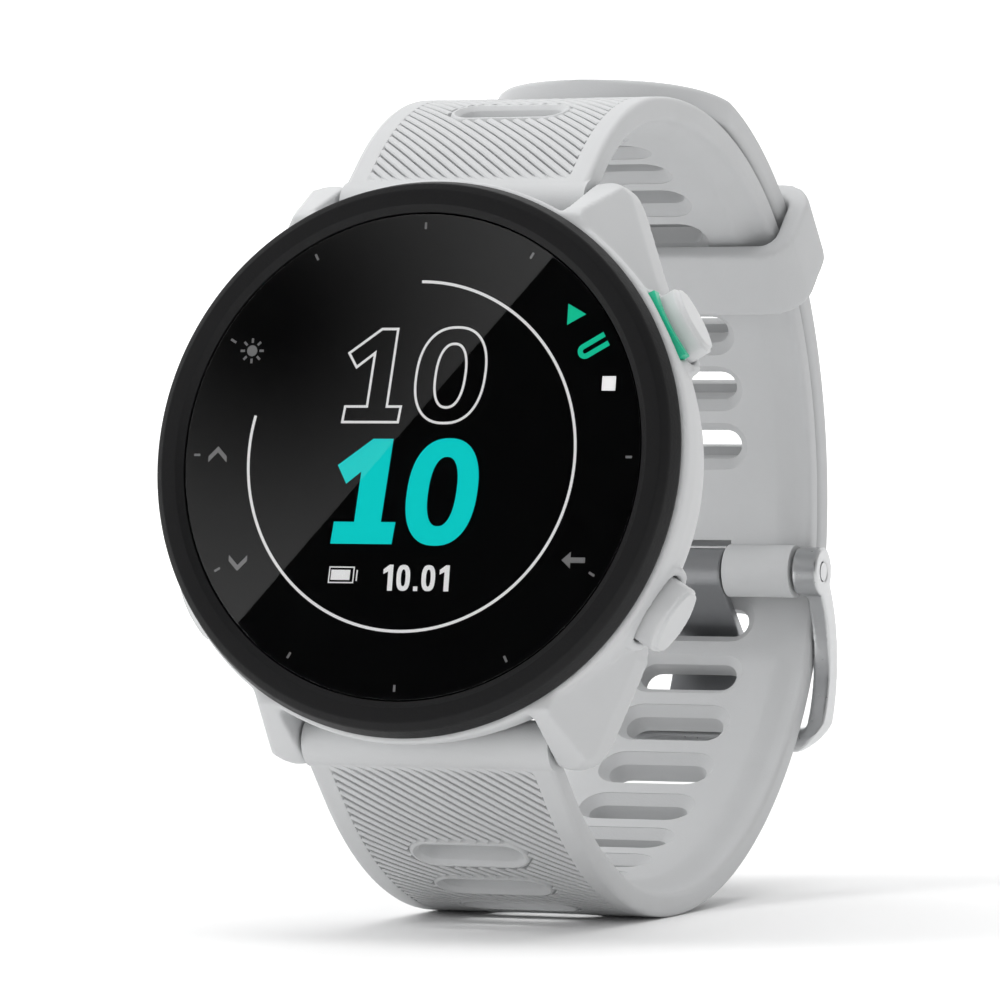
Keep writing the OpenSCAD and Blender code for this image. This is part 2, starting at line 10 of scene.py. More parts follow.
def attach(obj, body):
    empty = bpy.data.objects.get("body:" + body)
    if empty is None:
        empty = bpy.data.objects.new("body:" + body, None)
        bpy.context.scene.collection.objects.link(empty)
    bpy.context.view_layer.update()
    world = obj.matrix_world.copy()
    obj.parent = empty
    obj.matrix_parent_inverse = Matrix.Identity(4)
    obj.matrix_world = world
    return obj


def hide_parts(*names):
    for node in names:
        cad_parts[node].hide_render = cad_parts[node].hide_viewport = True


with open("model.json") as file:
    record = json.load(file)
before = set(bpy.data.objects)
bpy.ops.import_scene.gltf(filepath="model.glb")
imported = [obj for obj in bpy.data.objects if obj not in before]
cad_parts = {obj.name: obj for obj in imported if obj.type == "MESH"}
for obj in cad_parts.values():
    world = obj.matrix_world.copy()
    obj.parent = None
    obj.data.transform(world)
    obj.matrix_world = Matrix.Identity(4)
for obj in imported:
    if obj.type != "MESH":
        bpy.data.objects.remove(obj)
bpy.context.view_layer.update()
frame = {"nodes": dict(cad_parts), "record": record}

# GPS running watch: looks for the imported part. Lengths are in millimetres until a mesh is made.
MM = 0.001

# ---- places taken from the frame ----

joints = {j["name"]: j for j in frame["record"]["behaviour"]["joints"]}


def joint_place(name):
    """A joint's point in mm."""
    return Vector(joints[name]["pos_m"]) / MM


UPPER_BAR = joint_place("upper_strap_hinge")
LOWER_BAR = joint_place("lower_strap_hinge")
BEND = joint_place("keeper_slide")
PIN = joint_place("buckle_frame_hinge")

# The dial frame: X to 3 o'clock, Y to 12 o'clock, Z out of the dial, zero at the bezel's widest circle
BAR_DEPTH = 7.0
dial_y = (UPPER_BAR - LOWER_BAR).normalized()
dial_x = Vector((1, 0, 0))
dial_z = dial_x.cross(dial_y)
DIAL = (UPPER_BAR + LOWER_BAR) / 2 + BAR_DEPTH * dial_z
to_dial = Matrix((dial_x, dial_y, dial_z)).transposed().to_4x4()
to_dial.translation = DIAL

# ---- driving sizes ----

BAND_W = 20.0
BAND_T = 2.85
EDGE_T = 1.9
TAIL_T = 2.2
UPPER_R = 31.25
TAIL_R = 33.8
CROWN_R, CROWN_A = 38.0, 64.0
BROW_R, BROW_A, BROW_END = 21.0, 95.0, 130.0
HEEL_R, HEEL_A = 29.2, -44.0
FOOT_R, FOOT_A = 37.5, -91.0
TOE_R, TOE_A = 32.0, -136.0
UPPER_END = -8.0
THICK_A = -27.0
TIP_A, TIP_R = 85.0, 10.4
SLOT_W, SLOT_L = 2.4, 8.4
LENS_TOP = 1.18
LENS_R = 18.3
PRINT_Z = 1.07
RIB_PITCH = 0.70
RIB_DEPTH = 0.42
RIB_SLANT = radians(42)
RIB_HALF = 8.2

# ---- colour and material helpers ----


def colour(code):
    """An sRGB hex colour as linear RGBA."""
    parts = [int(code[i : i + 2], 16) / 255 for i in (1, 3, 5)]
    linear = [c / 12.92 if c <= 0.04045 else ((c + 0.055) / 1.055) ** 2.4 for c in parts]
    return (*linear, 1.0)


def add(tree, kind, settings=None, inputs=None):
    """Adds a node, sets its properties, and sets or links its inputs."""
    made = tree.nodes.new(kind)
    for key, value in (settings or {}).items():
        setattr(made, key, value)
    for key, value in (inputs or {}).items():
        socket = made.inputs[key]
        if isinstance(value, bpy.types.NodeSocket):
            tree.links.new(value, socket)
        else:
            socket.default_value = value
    return made


def material(name, base, roughness, metallic=0.0, **sockets):
    """A Principled material, with its tree and its shader."""
    made = bpy.data.materials.new(name)
    made.use_nodes = True
    tree = made.node_tree
    shader = tree.nodes["Principled BSDF"]
    shader.inputs["Base Color"].default_value = base
    shader.inputs["Roughness"].default_value = roughness
    shader.inputs["Metallic"].default_value = metallic
    for key, value in sockets.items():
        shader.inputs[key.replace("_", " ")].default_value = value
    return made, tree, shader


def grain(tree, shader, size, height, detail=2.0, stretch=(1, 1, 1)):
    """Bump from noise whose lumps are size mm across and height mm high."""
    place = add(tree, "ShaderNodeTexCoord")
    turn = add(tree, "ShaderNodeMapping", inputs={"Vector": place.outputs["Object"], "Scale": stretch})
    noise = add(
        tree,
        "ShaderNodeTexNoise",
        inputs={"Vector": turn.outputs["Vector"], "Scale": 1 / (size * MM), "Detail": detail},
    )
    bump = add(
        tree,
        "ShaderNodeBump",
        inputs={"Height": noise.outputs["Fac"], "Strength": 1.0, "Distance": height * MM},
    )
    tree.links.new(bump.outputs["Normal"], shader.inputs["Normal"])
    return noise


def mottle(tree, shader, first, second, size):
    """Slow change of colour between two close shades, in patches size mm across."""
    place = add(tree, "ShaderNodeTexCoord")
    noise = add(
        tree,
        "ShaderNodeTexNoise",
        inputs={"Vector": place.outputs["Object"], "Scale": 1 / (size * MM), "Detail": 3.0},
    )
    # the colour sockets of Mix share their names with the float ones, so they are set by index
    mix = add(tree, "ShaderNodeMix", {"data_type": "RGBA"}, {0: noise.outputs["Fac"], 6: first, 7: second})
    tree.links.new(mix.outputs[2], shader.inputs["Base Color"])
    return mix


def uneven_roughness(tree, shader, low, high, size):
    """Roughness that drifts between two values in patches size mm across."""
    place = add(tree, "ShaderNodeTexCoord")
    noise = add(
        tree,
        "ShaderNodeTexNoise",
        inputs={"Vector": place.outputs["Object"], "Scale": 1 / (size * MM), "Detail": 3.0},
    )
    spread = add(
        tree,
        "ShaderNodeMapRange",
        inputs={"Value": noise.outputs["Fac"], "To Min": low, "To Max": high},
    )
    tree.links.new(spread.outputs["Result"], shader.inputs["Roughness"])


# ---- materials ----


def band_silicone():
    """Liquid silicone rubber from a spark-eroded mould: soft grey with a fine pebble and no shine."""
    made, tree, shader = material("moulded silicone rubber", colour("#c4c5c6"), 0.62, Specular_IOR_Level=0.35)
    mottle(tree, shader, colour("#c2c3c4"), colour("#c6c7c8"), 3.0)
    # the real pebble is about 0.05 mm; it is drawn at 0.16 mm to show
    grain(tree, shader, 0.16, 0.012)
    return made


def case_polymer():
    """Fibre-reinforced polyamide from a textured mould: pale grey, dead matte with a faint satin."""
    made, tree, shader = material("moulded fibre-reinforced polyamide", colour("#c6c7c8"), 0.5)
    mottle(tree, shader, colour("#c4c5c6"), colour("#c8c9ca"), 4.0)
    grain(tree, shader, 0.12, 0.005)
    return made


def bezel_polymer():
    """Black glass-filled polymer with a leather-like mould texture that breaks up the highlights."""
    made, tree, shader = material("textured black polymer", colour("#141415"), 0.5, Specular_IOR_Level=0.22)
    uneven_roughness(tree, shader, 0.44, 0.58, 0.6)
    grain(tree, shader, 0.22, 0.022, 3.0)
    return made


def cap_polymer():
    """Polished-tool moulding of the buttons: the case's grey with a smoother, satin face."""
    made, tree, shader = material("satin moulded button polymer", colour("#cacbcc"), 0.38)
    mottle(tree, shader, colour("#c8c9ca"), colour("#cccdce"), 2.0)
    grain(tree, shader, 0.1, 0.002)
    return made


def green_polymer():
    """Dyed polymer insert: saturated green with a satin moulded face."""
    made, tree, shader = material("dyed green polymer", colour("#00b48a"), 0.35)
    mottle(tree, shader, colour("#00aa80"), colour("#00bc92"), 1.0)
    grain(tree, shader, 0.1, 0.003)
    return made


def clear_glass():
    """Chemically strengthened glass: it shows only its reflection, stronger at a slant."""
    made, tree, shader = material("strengthened glass", (1, 1, 1, 1), 0.0, 1.0)
    mirror = add(tree, "ShaderNodeFresnel", inputs={"IOR": 1.5})
    tree.links.new(mirror.outputs["Fac"], shader.inputs["Alpha"])
    return made


def black_print():
    """Black ink screen-printed on the back of the glass: an even deep black."""
    made, tree, shader = material("black screen print", colour("#050506"), 0.6, Specular_IOR_Level=0.1)
    mottle(tree, shader, colour("#040405"), colour("#060607"), 2.0)
    return made


def ink(name, code, lit=0.0):
    """Ink or display segment: flat, with a slight change from spot to spot. lit is a painted glow: emission
    in the mark's own colour that makes it brighter than the lamps alone would."""
    base = colour(code)
    made, tree, shader = material(name, base, 0.7, Specular_IOR_Level=0.1)
    darker = tuple(c * 0.97 for c in base[:3]) + (1.0,)
    mottle(tree, shader, base, darker, 0.8)
    # painted glow: the mark's own colour sent out as emission at strength lit
    shader.inputs["Emission Color"].default_value = base
    shader.inputs["Emission Strength"].default_value = lit
    return made


def brushed_steel():
    """Stainless steel, bead-blasted then brushed: fine lines along the band and soft highlights."""
    made, tree, shader = material("satin stainless steel", colour("#c6c7c8"), 0.3, 1.0)
    uneven_roughness(tree, shader, 0.24, 0.36, 0.5)
    # brush lines are drawn 0.1 mm apart so that they show
    grain(tree, shader, 0.1, 0.003, 2.0, (1.0, 0.06, 0.06))
    return made


def blasted_steel():
    """The tongue's steel as it leaves the bead blaster: grey and gritty, with no brush lines."""
    made, tree, shader = material("bead-blasted stainless steel", colour("#a2a3a5"), 0.42, 1.0)
    uneven_roughness(tree, shader, 0.36, 0.5, 0.4)
    # the real pits are about 0.03 mm; they are drawn at 0.12 mm to show
    grain(tree, shader, 0.12, 0.01, 3.0)
    return made


def plated(name, code, roughness):
    """Bright plated or rolled metal of small inner pieces."""
    made, tree, shader = material(name, colour(code), roughness, 1.0)
    uneven_roughness(tree, shader, roughness * 0.8, roughness * 1.3, 0.8)
    grain(tree, shader, 0.2, 0.002)
    return made


def moulded(name, code, roughness, size=0.3, height=0.004):
    """Plain moulded, pressed or laminated stuff of small inner pieces."""
    base = colour(code)
    made, tree, shader = material(name, base, roughness)
    lighter = tuple(min(1.0, c * 1.08) for c in base[:3]) + (1.0,)
    mottle(tree, shader, base, lighter, 1.5)
    grain(tree, shader, size, height)
    return made


SILICONE = band_silicone()
CASE = case_polymer()
BEZEL = bezel_polymer()
CAP = cap_polymer()
GREEN = green_polymer()
GLASS = clear_glass()
MASK = black_print()
GREY_INK = ink("grey label ink", "#9c9c9c")
# the white and green label inks and the display segments carry a painted glow
WHITE_INK_PAINTED_GLOW = ink("white label ink with painted glow", "#f4f4f4", 0.4)
GREEN_INK_PAINTED_GLOW = ink("green label ink with painted glow", "#12b38c", 0.6)
PALE_SEGMENT_PAINTED_GLOW = ink("pale display segment with painted glow", "#d0d0d0", 0.6)
CYAN_SEGMENT_PAINTED_GLOW = ink("cyan display segment with painted glow", "#05b5b2", 0.72)
STEEL = brushed_steel()
BLASTED = blasted_steel()

inner = {
    "lens_adhesive": moulded("black foam adhesive", "#1c1c1c", 0.8),
    "optical_bond": moulded("clear optical resin", "#cfd8dc", 0.1),
    "display_panel": moulded("reflective display laminate", "#1d2426", 0.15),
    "backlight": moulded("white light guide acrylic", "#f2f2f0", 0.3),
    "display_frame": moulded("black moulded polycarbonate", "#202020", 0.5),
    "display_flex": moulded("amber polyimide film", "#b06a1c", 0.35),
    "main_board": moulded("green solder mask", "#12522c", 0.4),
    "sensor_board": moulded("green solder mask of the sensor", "#12522c", 0.4),
    "gps_antenna": moulded("fired antenna ceramic", "#b99a5e", 0.6),
    "tact_switches": moulded("black glass-filled switch body", "#262626", 0.5),
    "sensor_leds": moulded("clear green epoxy", "#9fd8a0", 0.15),
    "sensor_window": moulded("polished dark acrylic", "#08080a", 0.06, 2.0, 0.0005),
    "back_cover": moulded("moulded grey back polymer", "#bcbdbf", 0.45, 0.15, 0.005),
    "case_gasket": moulded("black nitrile rubber", "#161616", 0.7),
    "battery": plated("laminated battery foil", "#aeb2b8", 0.35),
    "vibration_motor": plated("drawn motor can", "#b9b9b9", 0.3),
    "buzzer": plated("buzzer brass", "#c8a45a", 0.3),
    "shield_cans": plated("tinned shield", "#c2c2c0", 0.32),
    "board_screws": plated("zinc-plated screw", "#b4b4b2", 0.3),
    "back_screws": plated("stainless screw", "#b0b0b0", 0.28),
    "charging_contacts": plated("gold plate", "#d8b060", 0.2),
}
clip_steel = plated("spring steel clip", "#a8a8a6", 0.3)
ring_rubber = moulded("black seal rubber", "#151515", 0.6)
BUTTONS = ("start", "back", "light", "up", "down")
for button in BUTTONS:
    inner[button + "_clip"] = clip_steel
    inner[button + "_seal"] = ring_rubber
for bar in ("upper_spring_bar", "lower_spring_bar", "buckle_pin"):
    inner[bar] = STEEL
for name, finish in inner.items():
    mesh = frame["nodes"][name].data
    mesh.materials.clear()
    mesh.materials.append(finish)

# ---- mesh helpers ----


def finish_mesh(name, mesh, finish, body, replaced=(), sharp=35):
    """Puts a mesh in the scene, shaded smooth except at sharp edges, riding on its body."""
    made = bpy.data.objects.new(name, mesh)
    bpy.context.scene.collection.objects.link(made)
    mesh.materials.clear()
    mesh.materials.append(finish)
    for face in mesh.polygons:
        face.use_smooth = True
        face.material_index = 0
    mesh.set_sharp_from_angle(angle=radians(sharp))
    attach(made, body)
    if replaced:
        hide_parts(*replaced)
    return made


def evaluated(source):
    """The mesh that an object's modifiers give, as a plain mesh; the object is removed."""
    bpy.context.view_layer.update()
    ready = source.evaluated_get(bpy.context.evaluated_depsgraph_get())
    made = bpy.data.meshes.new_from_object(ready)
    bpy.data.objects.remove(source)
    return made


def temporary(mesh):
    made = bpy.data.objects.new("shaping", mesh)
    bpy.context.scene.collection.objects.link(made)
    return made


def softened(node_name, voxel, passes, keep, finish, body):
    """Stands for a CAD node with the same shape, its edges rounded as a mould rounds them."""
    work = bmesh.new()
    work.from_mesh(frame["nodes"][node_name].data)
    bmesh.ops.remove_doubles(work, verts=work.verts, dist=1e-6)
    mesh = bpy.data.meshes.new(node_name)
    work.to_mesh(mesh)
    work.free()
    shape = temporary(mesh)
    remesh = shape.modifiers.new("even skin", "REMESH")
    remesh.mode = "VOXEL"
    remesh.voxel_size = voxel * MM
    relax = shape.modifiers.new("round edges", "SMOOTH")
    relax.factor = 0.6
    relax.iterations = passes
    if keep < 1:
        thin = shape.modifiers.new("fewer faces", "DECIMATE")
        thin.ratio = keep
    return finish_mesh("soft_" + node_name, evaluated(shape), finish, body, [node_name], 180)


def lathe(name, outline, steps=192):
    """Turns an outline of (radius, height) points in the dial frame about the dial's axis."""
    points = []
    faces = []
    count = len(outline)
    for i in range(steps):
        a = 2 * pi * i / steps
        points += [(r * cos(a), r * sin(a), h) for r, h in outline]
    for i in range(steps):
        j = (i + 1) % steps
        for k in range(count):
            m = (k + 1) % count
            if outline[k][0] < 1e-6 and outline[m][0] < 1e-6:
                continue
            faces.append((i * count + k, j * count + k, j * count + m, i * count + m))
    # the points of a closed middle fall together, which leaves triangles there
    shape = bmesh.new()
    corners = [shape.verts.new(p) for p in points]
    for f in faces:
        shape.faces.new([corners[i] for i in f])
    bmesh.ops.remove_doubles(shape, verts=shape.verts, dist=1e-5)
    bmesh.ops.transform(shape, matrix=to_dial, verts=shape.verts)
    bmesh.ops.scale(shape, vec=(MM, MM, MM), verts=shape.verts)
    bmesh.ops.recalc_face_normals(shape, faces=shape.faces)
    made = bpy.data.meshes.new(name)
    shape.to_mesh(made)
    shape.free()
    return made


def rounded(corners, steps=5):
    """Outline whose corners, given as (x, y, radius), are rounded by arcs."""
    out = []
    count = len(corners)
    for i in range(count):
        x, y, r = corners[i]
        if r <= 0:
            out.append((x, y))
            continue
        here = Vector((x, y))
        before = (Vector(corners[i - 1][:2]) - here).normalized()
        after = (Vector(corners[(i + 1) % count][:2]) - here).normalized()
        half = acos(max(-1.0, min(1.0, before.dot(after)))) / 2
        reach = r / max(0.05, sin(half) / cos(half))
        centre = here + (before + after).normalized() * (r / sin(half))
        first = here + before * reach - centre
        last = here + after * reach - centre
        start = atan2(first.y, first.x)
        turn = (atan2(last.y, last.x) - start + pi) % (2 * pi) - pi
        for k in range(steps + 1):
            a = start + turn * k / steps
            out.append((centre.x + r * cos(a), centre.y + r * sin(a)))
    return out


# ---- bezel, glass and dial face ----

bezel_outline = rounded(
    [
        (16.6, -1.4, 0),
        (20.0, -1.4, 0),
        (20.0, -0.5, 0),
        (20.9, -0.5, 0.1),
        (21.0, -0.1, 0.3),
        (20.62, 1.2, 0.5),
        (20.05, 1.6, 0.3),
        (18.95, 1.6, 0.12),
        (18.42, 1.22, 0.05),
        (18.36, 0.0, 0),
        (16.6, 0.0, 0),
    ]
)
bezel_ring = lathe("bezel_ring", bezel_outline, 256)
finish_mesh("bezel_ring", bezel_ring, BEZEL, "case", ["bezel"], 50)

glass_outline = rounded(
    [
        (0, LENS_TOP - 0.07, 0),
        (LENS_R, LENS_TOP - 0.07, 0),
        (LENS_R, LENS_TOP, 0.05),
        # keeps the shading of the rounded rim out of the flat middle
        (LENS_R - 0.1, LENS_TOP, 0),
        (0, LENS_TOP, 0),
    ]
)
finish_mesh("cover_glass", lathe("cover_glass", glass_outline, 192), GLASS, "case", ["lens"])

face_outline = [(0, 0.28), (LENS_R - 0.02, 0.28), (LENS_R - 0.02, PRINT_Z), (0, PRINT_Z)]
finish_mesh("dial_face", lathe("dial_face", face_outline, 192), MASK, "case", ["dial_mask"])

# ---- marks on the dial ----


def printed(name, outlines, finish, thick=0.012):
    """Thin marks on the dial face. Each outline is a loop of points, or an outer and an inner loop."""
    shape = bmesh.new()
    for item in outlines:
        if isinstance(item[0][0], (tuple, list)):
            outer, hole = item
        else:
            outer, hole = item, None
        for z, flip in ((PRINT_Z + thick, False), (PRINT_Z, True)):
            rim = [shape.verts.new((x, y, z)) for x, y in outer]
            if hole:
                well = [shape.verts.new((x, y, z)) for x, y in hole]
                for k in range(len(rim)):
                    m = (k + 1) % len(rim)
                    shape.faces.new((rim[k], rim[m], well[m], well[k]))
            else:
                face = shape.faces.new(rim)
                face.normal_update()
                bmesh.ops.triangulate(shape, faces=[face])
            if flip:
                lower = (rim, well if hole else None)
            else:
                upper = (rim, well if hole else None)
        for top, low in zip(upper, lower):
            if top is None:
                continue
            for k in range(len(top)):
                m = (k + 1) % len(top)
                shape.faces.new((top[k], top[m], low[m], low[k]))
    bmesh.ops.recalc_face_normals(shape, faces=shape.faces)
    bmesh.ops.transform(shape, matrix=to_dial, verts=shape.verts)
    bmesh.ops.scale(shape, vec=(MM, MM, MM), verts=shape.verts)
    mesh = bpy.data.meshes.new(name)
    shape.to_mesh(mesh)
    shape.free()
    return finish_mesh(name, mesh, finish, "case")


def turned(points, centre, clock=0.0, size=1.0):
    """Points turned clockwise by a clock angle, scaled and moved to a centre."""
    a = -radians(clock)
    return [
        (centre[0] + size * (x * cos(a) - y * sin(a)), centre[1] + size * (x * sin(a) + y * cos(a)))
        for x, y in points
    ]


def offset_loop(points, distance):
    """Loop moved inwards by a distance, corner by corner; the loop runs anticlockwise."""
    out = []
    count = len(points)
    for i in range(count):
        p = Vector(points[i])
        a = (p - Vector(points[i - 1])).normalized()
        b = (Vector(points[(i + 1) % count]) - p).normalized()
        na = Vector((-a.y, a.x))
        nb = Vector((-b.y, b.x))
        both = na + nb
        both = both / max(0.3, both.length_squared / 2)
        moved = p + both * distance
        out.append((moved.x, moved.y))
    return out


def clock_arc(radius, width, first, last, steps=96):
    """Closed band along a circle between two clock angles."""
    outer = []
    inside = []
    for k in range(steps + 1):
        a = radians(90 - first - (last - first) * k / steps)
        outer.append(((radius + width / 2) * cos(a), (radius + width / 2) * sin(a)))
        inside.append(((radius - width / 2) * cos(a), (radius - width / 2) * sin(a)))
    return outer + inside[::-1]


def oval(centre, half_w, half_h, lean, power=2.35, steps=72):
    """Leaning superellipse, anticlockwise."""
    out = []
    for k in range(steps):
        a = 2 * pi * k / steps
        c = cos(a)
        s = sin(a)
        x = half_w * abs(c) ** (2 / power) * (1 if c >= 0 else -1)
        y = half_h * abs(s) ** (2 / power) * (1 if s >= 0 else -1)
        out.append((centre[0] + x + lean * y, centre[1] + y))
    return out


def hollow(loop, width):
    return [loop, offset_loop(loop, width)]


# hour figures in outline, minute figures filled, both leaning a little
LEAN = 0.085
STROKE = 0.19
hour_one = [
    (-5.81, 2.44), (-1.11, 2.44), (-0.92, 3.81), (-2.06, 3.81), (-1.56, 9.67), (-2.98, 9.67),
    (-5.63, 7.78), (-4.86, 6.55), (-3.52, 7.56), (-3.86, 3.81), (-5.62, 3.81),
]
minute_one = [
    (-5.98, -6.64), (-1.02, -6.64), (-0.82, -4.98), (-2.0, -4.98), (-1.43, 1.28), (-3.05, 1.28),
    (-5.8, -0.72), (-5.02, -2.12), (-3.86, -1.2), (-4.16, -4.98), (-5.8, -4.98),
]
hour = [
    hollow(hour_one, STROKE),
    hollow(oval((2.82, 6.08), 2.86, 3.7, LEAN), STROKE),
    hollow(oval((2.8, 6.05), 1.1, 2.3, LEAN), -STROKE),
]
minute = [minute_one, [oval((2.76, -2.69), 2.82, 4.03, LEAN), oval((2.78, -2.66), 1.13, 2.6, LEAN)]]
printed("hour_figures", hour, PALE_SEGMENT_PAINTED_GLOW)
printed("minute_figures", minute, CYAN_SEGMENT_PAINTED_GLOW)


def small_figures(left, foot, tall):
    """Day and month as bold upright figures."""
    wide = tall * 0.56
    out = []
    x = left
    for sign in "10.01":
        if sign == ".":
            out.append([(x, foot), (x + 0.34, foot), (x + 0.34, foot + 0.34), (x, foot + 0.34)])
            x += 0.62
        elif sign == "1":
            out.append(
                [
                    (x + 0.42, foot), (x + 0.82, foot), (x + 0.82, foot + tall), (x + 0.52, foot + tall),
                    (x + 0.04, foot + tall * 0.82), (x + 0.04, foot + tall * 0.64),
                    (x + 0.42, foot + tall * 0.74),
                ]
            )
            x += 1.12
        else:
            centre = (x + wide / 2, foot + tall / 2)
            out.append(
                [
                    oval(centre, wide / 2, tall / 2, 0, 2.6, 40),
                    oval(centre, wide / 2 - 0.36, tall / 2 - 0.34, 0, 2.4, 40),
                ]
            )
            x += wide + 0.3
    return out


printed("date_figures", small_figures(-1.55, -10.12, 1.95), PALE_SEGMENT_PAINTED_GLOW)

cell = [(-5.96, -9.6), (-3.9, -9.6), (-3.84, -8.35), (-5.9, -8.35)]
charge = [(-5.76, -9.36), (-4.22, -9.36), (-4.18, -8.6), (-5.72, -8.6)]
knob = [(-3.72, -9.42), (-3.62, -9.42), (-3.58, -8.6), (-3.68, -8.6)]
printed("battery_mark", [hollow(cell, 0.09), charge, knob], PALE_SEGMENT_PAINTED_GLOW)
printed("progress_ring", [clock_arc(13.15, 0.22, 0.0, 283.2, 160)], PALE_SEGMENT_PAINTED_GLOW)


def minute_ticks():
    """Eleven ticks round the dial, one every 30 degrees, with none where the start mark is."""
    tree = bpy.data.node_groups.new("dial ticks", "GeometryNodeTree")
    face = tree.interface
    for label, kind, value in (
        ("Radius", "NodeSocketFloat", 0.0174),
        ("Length", "NodeSocketFloat", 0.0005),
        ("Width", "NodeSocketFloat", 0.00018),
        ("Count", "NodeSocketInt", 12),
        ("Skipped", "NodeSocketInt", 2),
    ):
        face.new_socket(label, in_out="INPUT", socket_type=kind).default_value = value
    face.new_socket("Geometry", in_out="OUTPUT", socket_type="NodeSocketGeometry")
    given = add(tree, "NodeGroupInput")
    # one tick every full turn / count, clockwise from 12 o'clock
    line = add(
        tree,
        "GeometryNodeMeshLine",
        {"mode": "OFFSET"},
        {"Count": given.outputs["Count"], "Offset": (0, 0, 0)},
    )
    index = add(tree, "GeometryNodeInputIndex")
    share = add(
        tree, "ShaderNodeMath", {"operation": "DIVIDE"}, {0: index.outputs[0], 1: given.outputs["Count"]}
    )
    angle = add(tree, "ShaderNodeMath", {"operation": "MULTIPLY"}, {0: share.outputs[0], 1: -2 * pi})
    turn = add(tree, "ShaderNodeCombineXYZ", inputs={"Z": angle.outputs[0]})
    reach = add(tree, "ShaderNodeCombineXYZ", inputs={"Y": given.outputs["Radius"]})
    spot = add(
        tree,
        "ShaderNodeVectorRotate",
        {"rotation_type": "EULER_XYZ"},
        {"Vector": reach.outputs[0], "Rotation": turn.outputs[0]},
    )
    placed = add(
        tree,
        "GeometryNodeSetPosition",
        inputs={"Geometry": line.outputs[0], "Position": spot.outputs[0]},
    )
    size = add(
        tree,
        "ShaderNodeCombineXYZ",
        inputs={"X": given.outputs["Width"], "Y": given.outputs["Length"], "Z": 0.000012},
    )
    tick = add(tree, "GeometryNodeMeshCube", inputs={"Size": size.outputs[0]})
    skip = add(
        tree,
        "FunctionNodeCompare",
        {"data_type": "INT", "operation": "NOT_EQUAL"},
        {2: index.outputs[0], 3: given.outputs["Skipped"]},
    )
    each = add(
        tree,
        "GeometryNodeInstanceOnPoints",
        inputs={
            "Points": placed.outputs[0],
            "Selection": skip.outputs[0],
            "Instance": tick.outputs[0],
            "Rotation": turn.outputs[0],
        },
    )
    real = add(tree, "GeometryNodeRealizeInstances", inputs={"Geometry": each.outputs[0]})
    painted = add(
        tree, "GeometryNodeSetMaterial", inputs={"Geometry": real.outputs[0], "Material": GREY_INK}
    )
    add(tree, "NodeGroupOutput", inputs={"Geometry": painted.outputs[0]})
    holder = temporary(bpy.data.meshes.new("ticks"))
    holder.modifiers.new("ticks", "NODES").node_group = tree
    mesh = evaluated(holder)
    lift = Matrix.Translation((0, 0, (PRINT_Z + 0.008) * MM))
    place = to_dial.copy()
    place.translation = DIAL * MM
    mesh.transform(place @ lift)
    return finish_mesh("hour_ticks", mesh, GREY_INK, "case")


minute_ticks()

# pictures beside the buttons, each set at its place round the dial without turning
UP_ARROW = [(-0.75, -0.55), (0, 0.2), (0.75, -0.55), (0.75, -0.1), (0, 0.65), (-0.75, -0.1)]
PLAY = [(-0.62, -0.8), (0.85, 0), (-0.62, 0.8)]
SQUARE = [(-0.6, -0.6), (0.6, -0.6), (0.6, 0.6), (-0.6, 0.6)]
BACK_ARROW = [
    (-0.95, 0.0), (-0.25, -0.62), (-0.25, -0.2), (0.9, -0.2), (0.9, 0.2), (-0.25, 0.2), (-0.25, 0.62),
]


def at_clock(radius, clock):
    return (radius * sin(radians(clock)), radius * cos(radians(clock)))


lamp = [oval((0, 0), 0.42, 0.42, 0, 2, 24)]
for k in range(8):
    a = k * pi / 4
    ray = [(-0.09, 0.6), (0.09, 0.6), (0.09, 0.95), (-0.09, 0.95)]
    lamp.append([(x * cos(a) - y * sin(a), x * sin(a) + y * cos(a)) for x, y in ray])
light_spot = at_clock(15.65, 300.5)
printed("light_mark", [turned(loop, light_spot) for loop in lamp], GREY_INK)
printed("up_mark", [turned(UP_ARROW, at_clock(15.7, 270))], GREY_INK)
down_arrow = [(x, -y) for x, y in UP_ARROW][::-1]
printed("down_mark", [turned(down_arrow, at_clock(15.7, 238.8))], GREY_INK)
printed("back_mark", [turned(BACK_ARROW, at_clock(15.6, 119.5))], GREY_INK)
printed("start_mark", [turned(PLAY, at_clock(16.4, 49.5))], GREEN_INK_PAINTED_GLOW)
printed("stop_mark", [turned(SQUARE, at_clock(16.4, 70.5), 0, 0.9)], WHITE_INK_PAINTED_GLOW)


def bracket(length, width, stroke):
    """Two legs and a round end, open upwards, as one closed outline."""
    outer = width / 2
    inside = outer - stroke
    out = [(outer, length)]
    out += [(outer * cos(-a), outer * sin(-a)) for a in [pi * k / 12 for k in range(13)]]
    out += [(-outer, length), (-inside, length)]
    out += [(-inside * cos(a), -inside * sin(a)) for a in [pi * k / 12 for k in range(13)]]
    out += [(inside, length)]
    return out


mark = [(x, y - 0.75) for x, y in bracket(1.9, 1.15, 0.4)]
printed("start_bracket", [turned(mark, at_clock(16.3, 59.6), 60)], GREEN_INK_PAINTED_GLOW)

# ---- band ----


def next_bend(centre, r_old, r_new, angle):
    a = radians(angle)
    return centre + (r_old - r_new) * Vector((cos(a), sin(a)))


def side(point):
    """A place's coordinates in the side view: away from the dial, and up."""
    return Vector((point.y, point.z))


bend = side(BEND)
heel = next_bend(bend, TAIL_R, HEEL_R, 0)
foot = next_bend(heel, HEEL_R, FOOT_R, HEEL_A)
toe = next_bend(foot, FOOT_R, TOE_R, FOOT_A)
crown = next_bend(bend, UPPER_R, CROWN_R, CROWN_A)
brow = next_bend(crown, CROWN_R, BROW_R, BROW_A)
bend_upper = [(crown, CROWN_R, BROW_A, CROWN_A), (bend, UPPER_R, CROWN_A, UPPER_END)]
bend_lower = [(toe, TOE_R, TOE_A, FOOT_A), (foot, FOOT_R, FOOT_A, HEEL_A), (heel, HEEL_R, HEEL_A, 0)]


def outwards(angle):
    a = radians(angle)
    return Vector((cos(a), sin(a)))


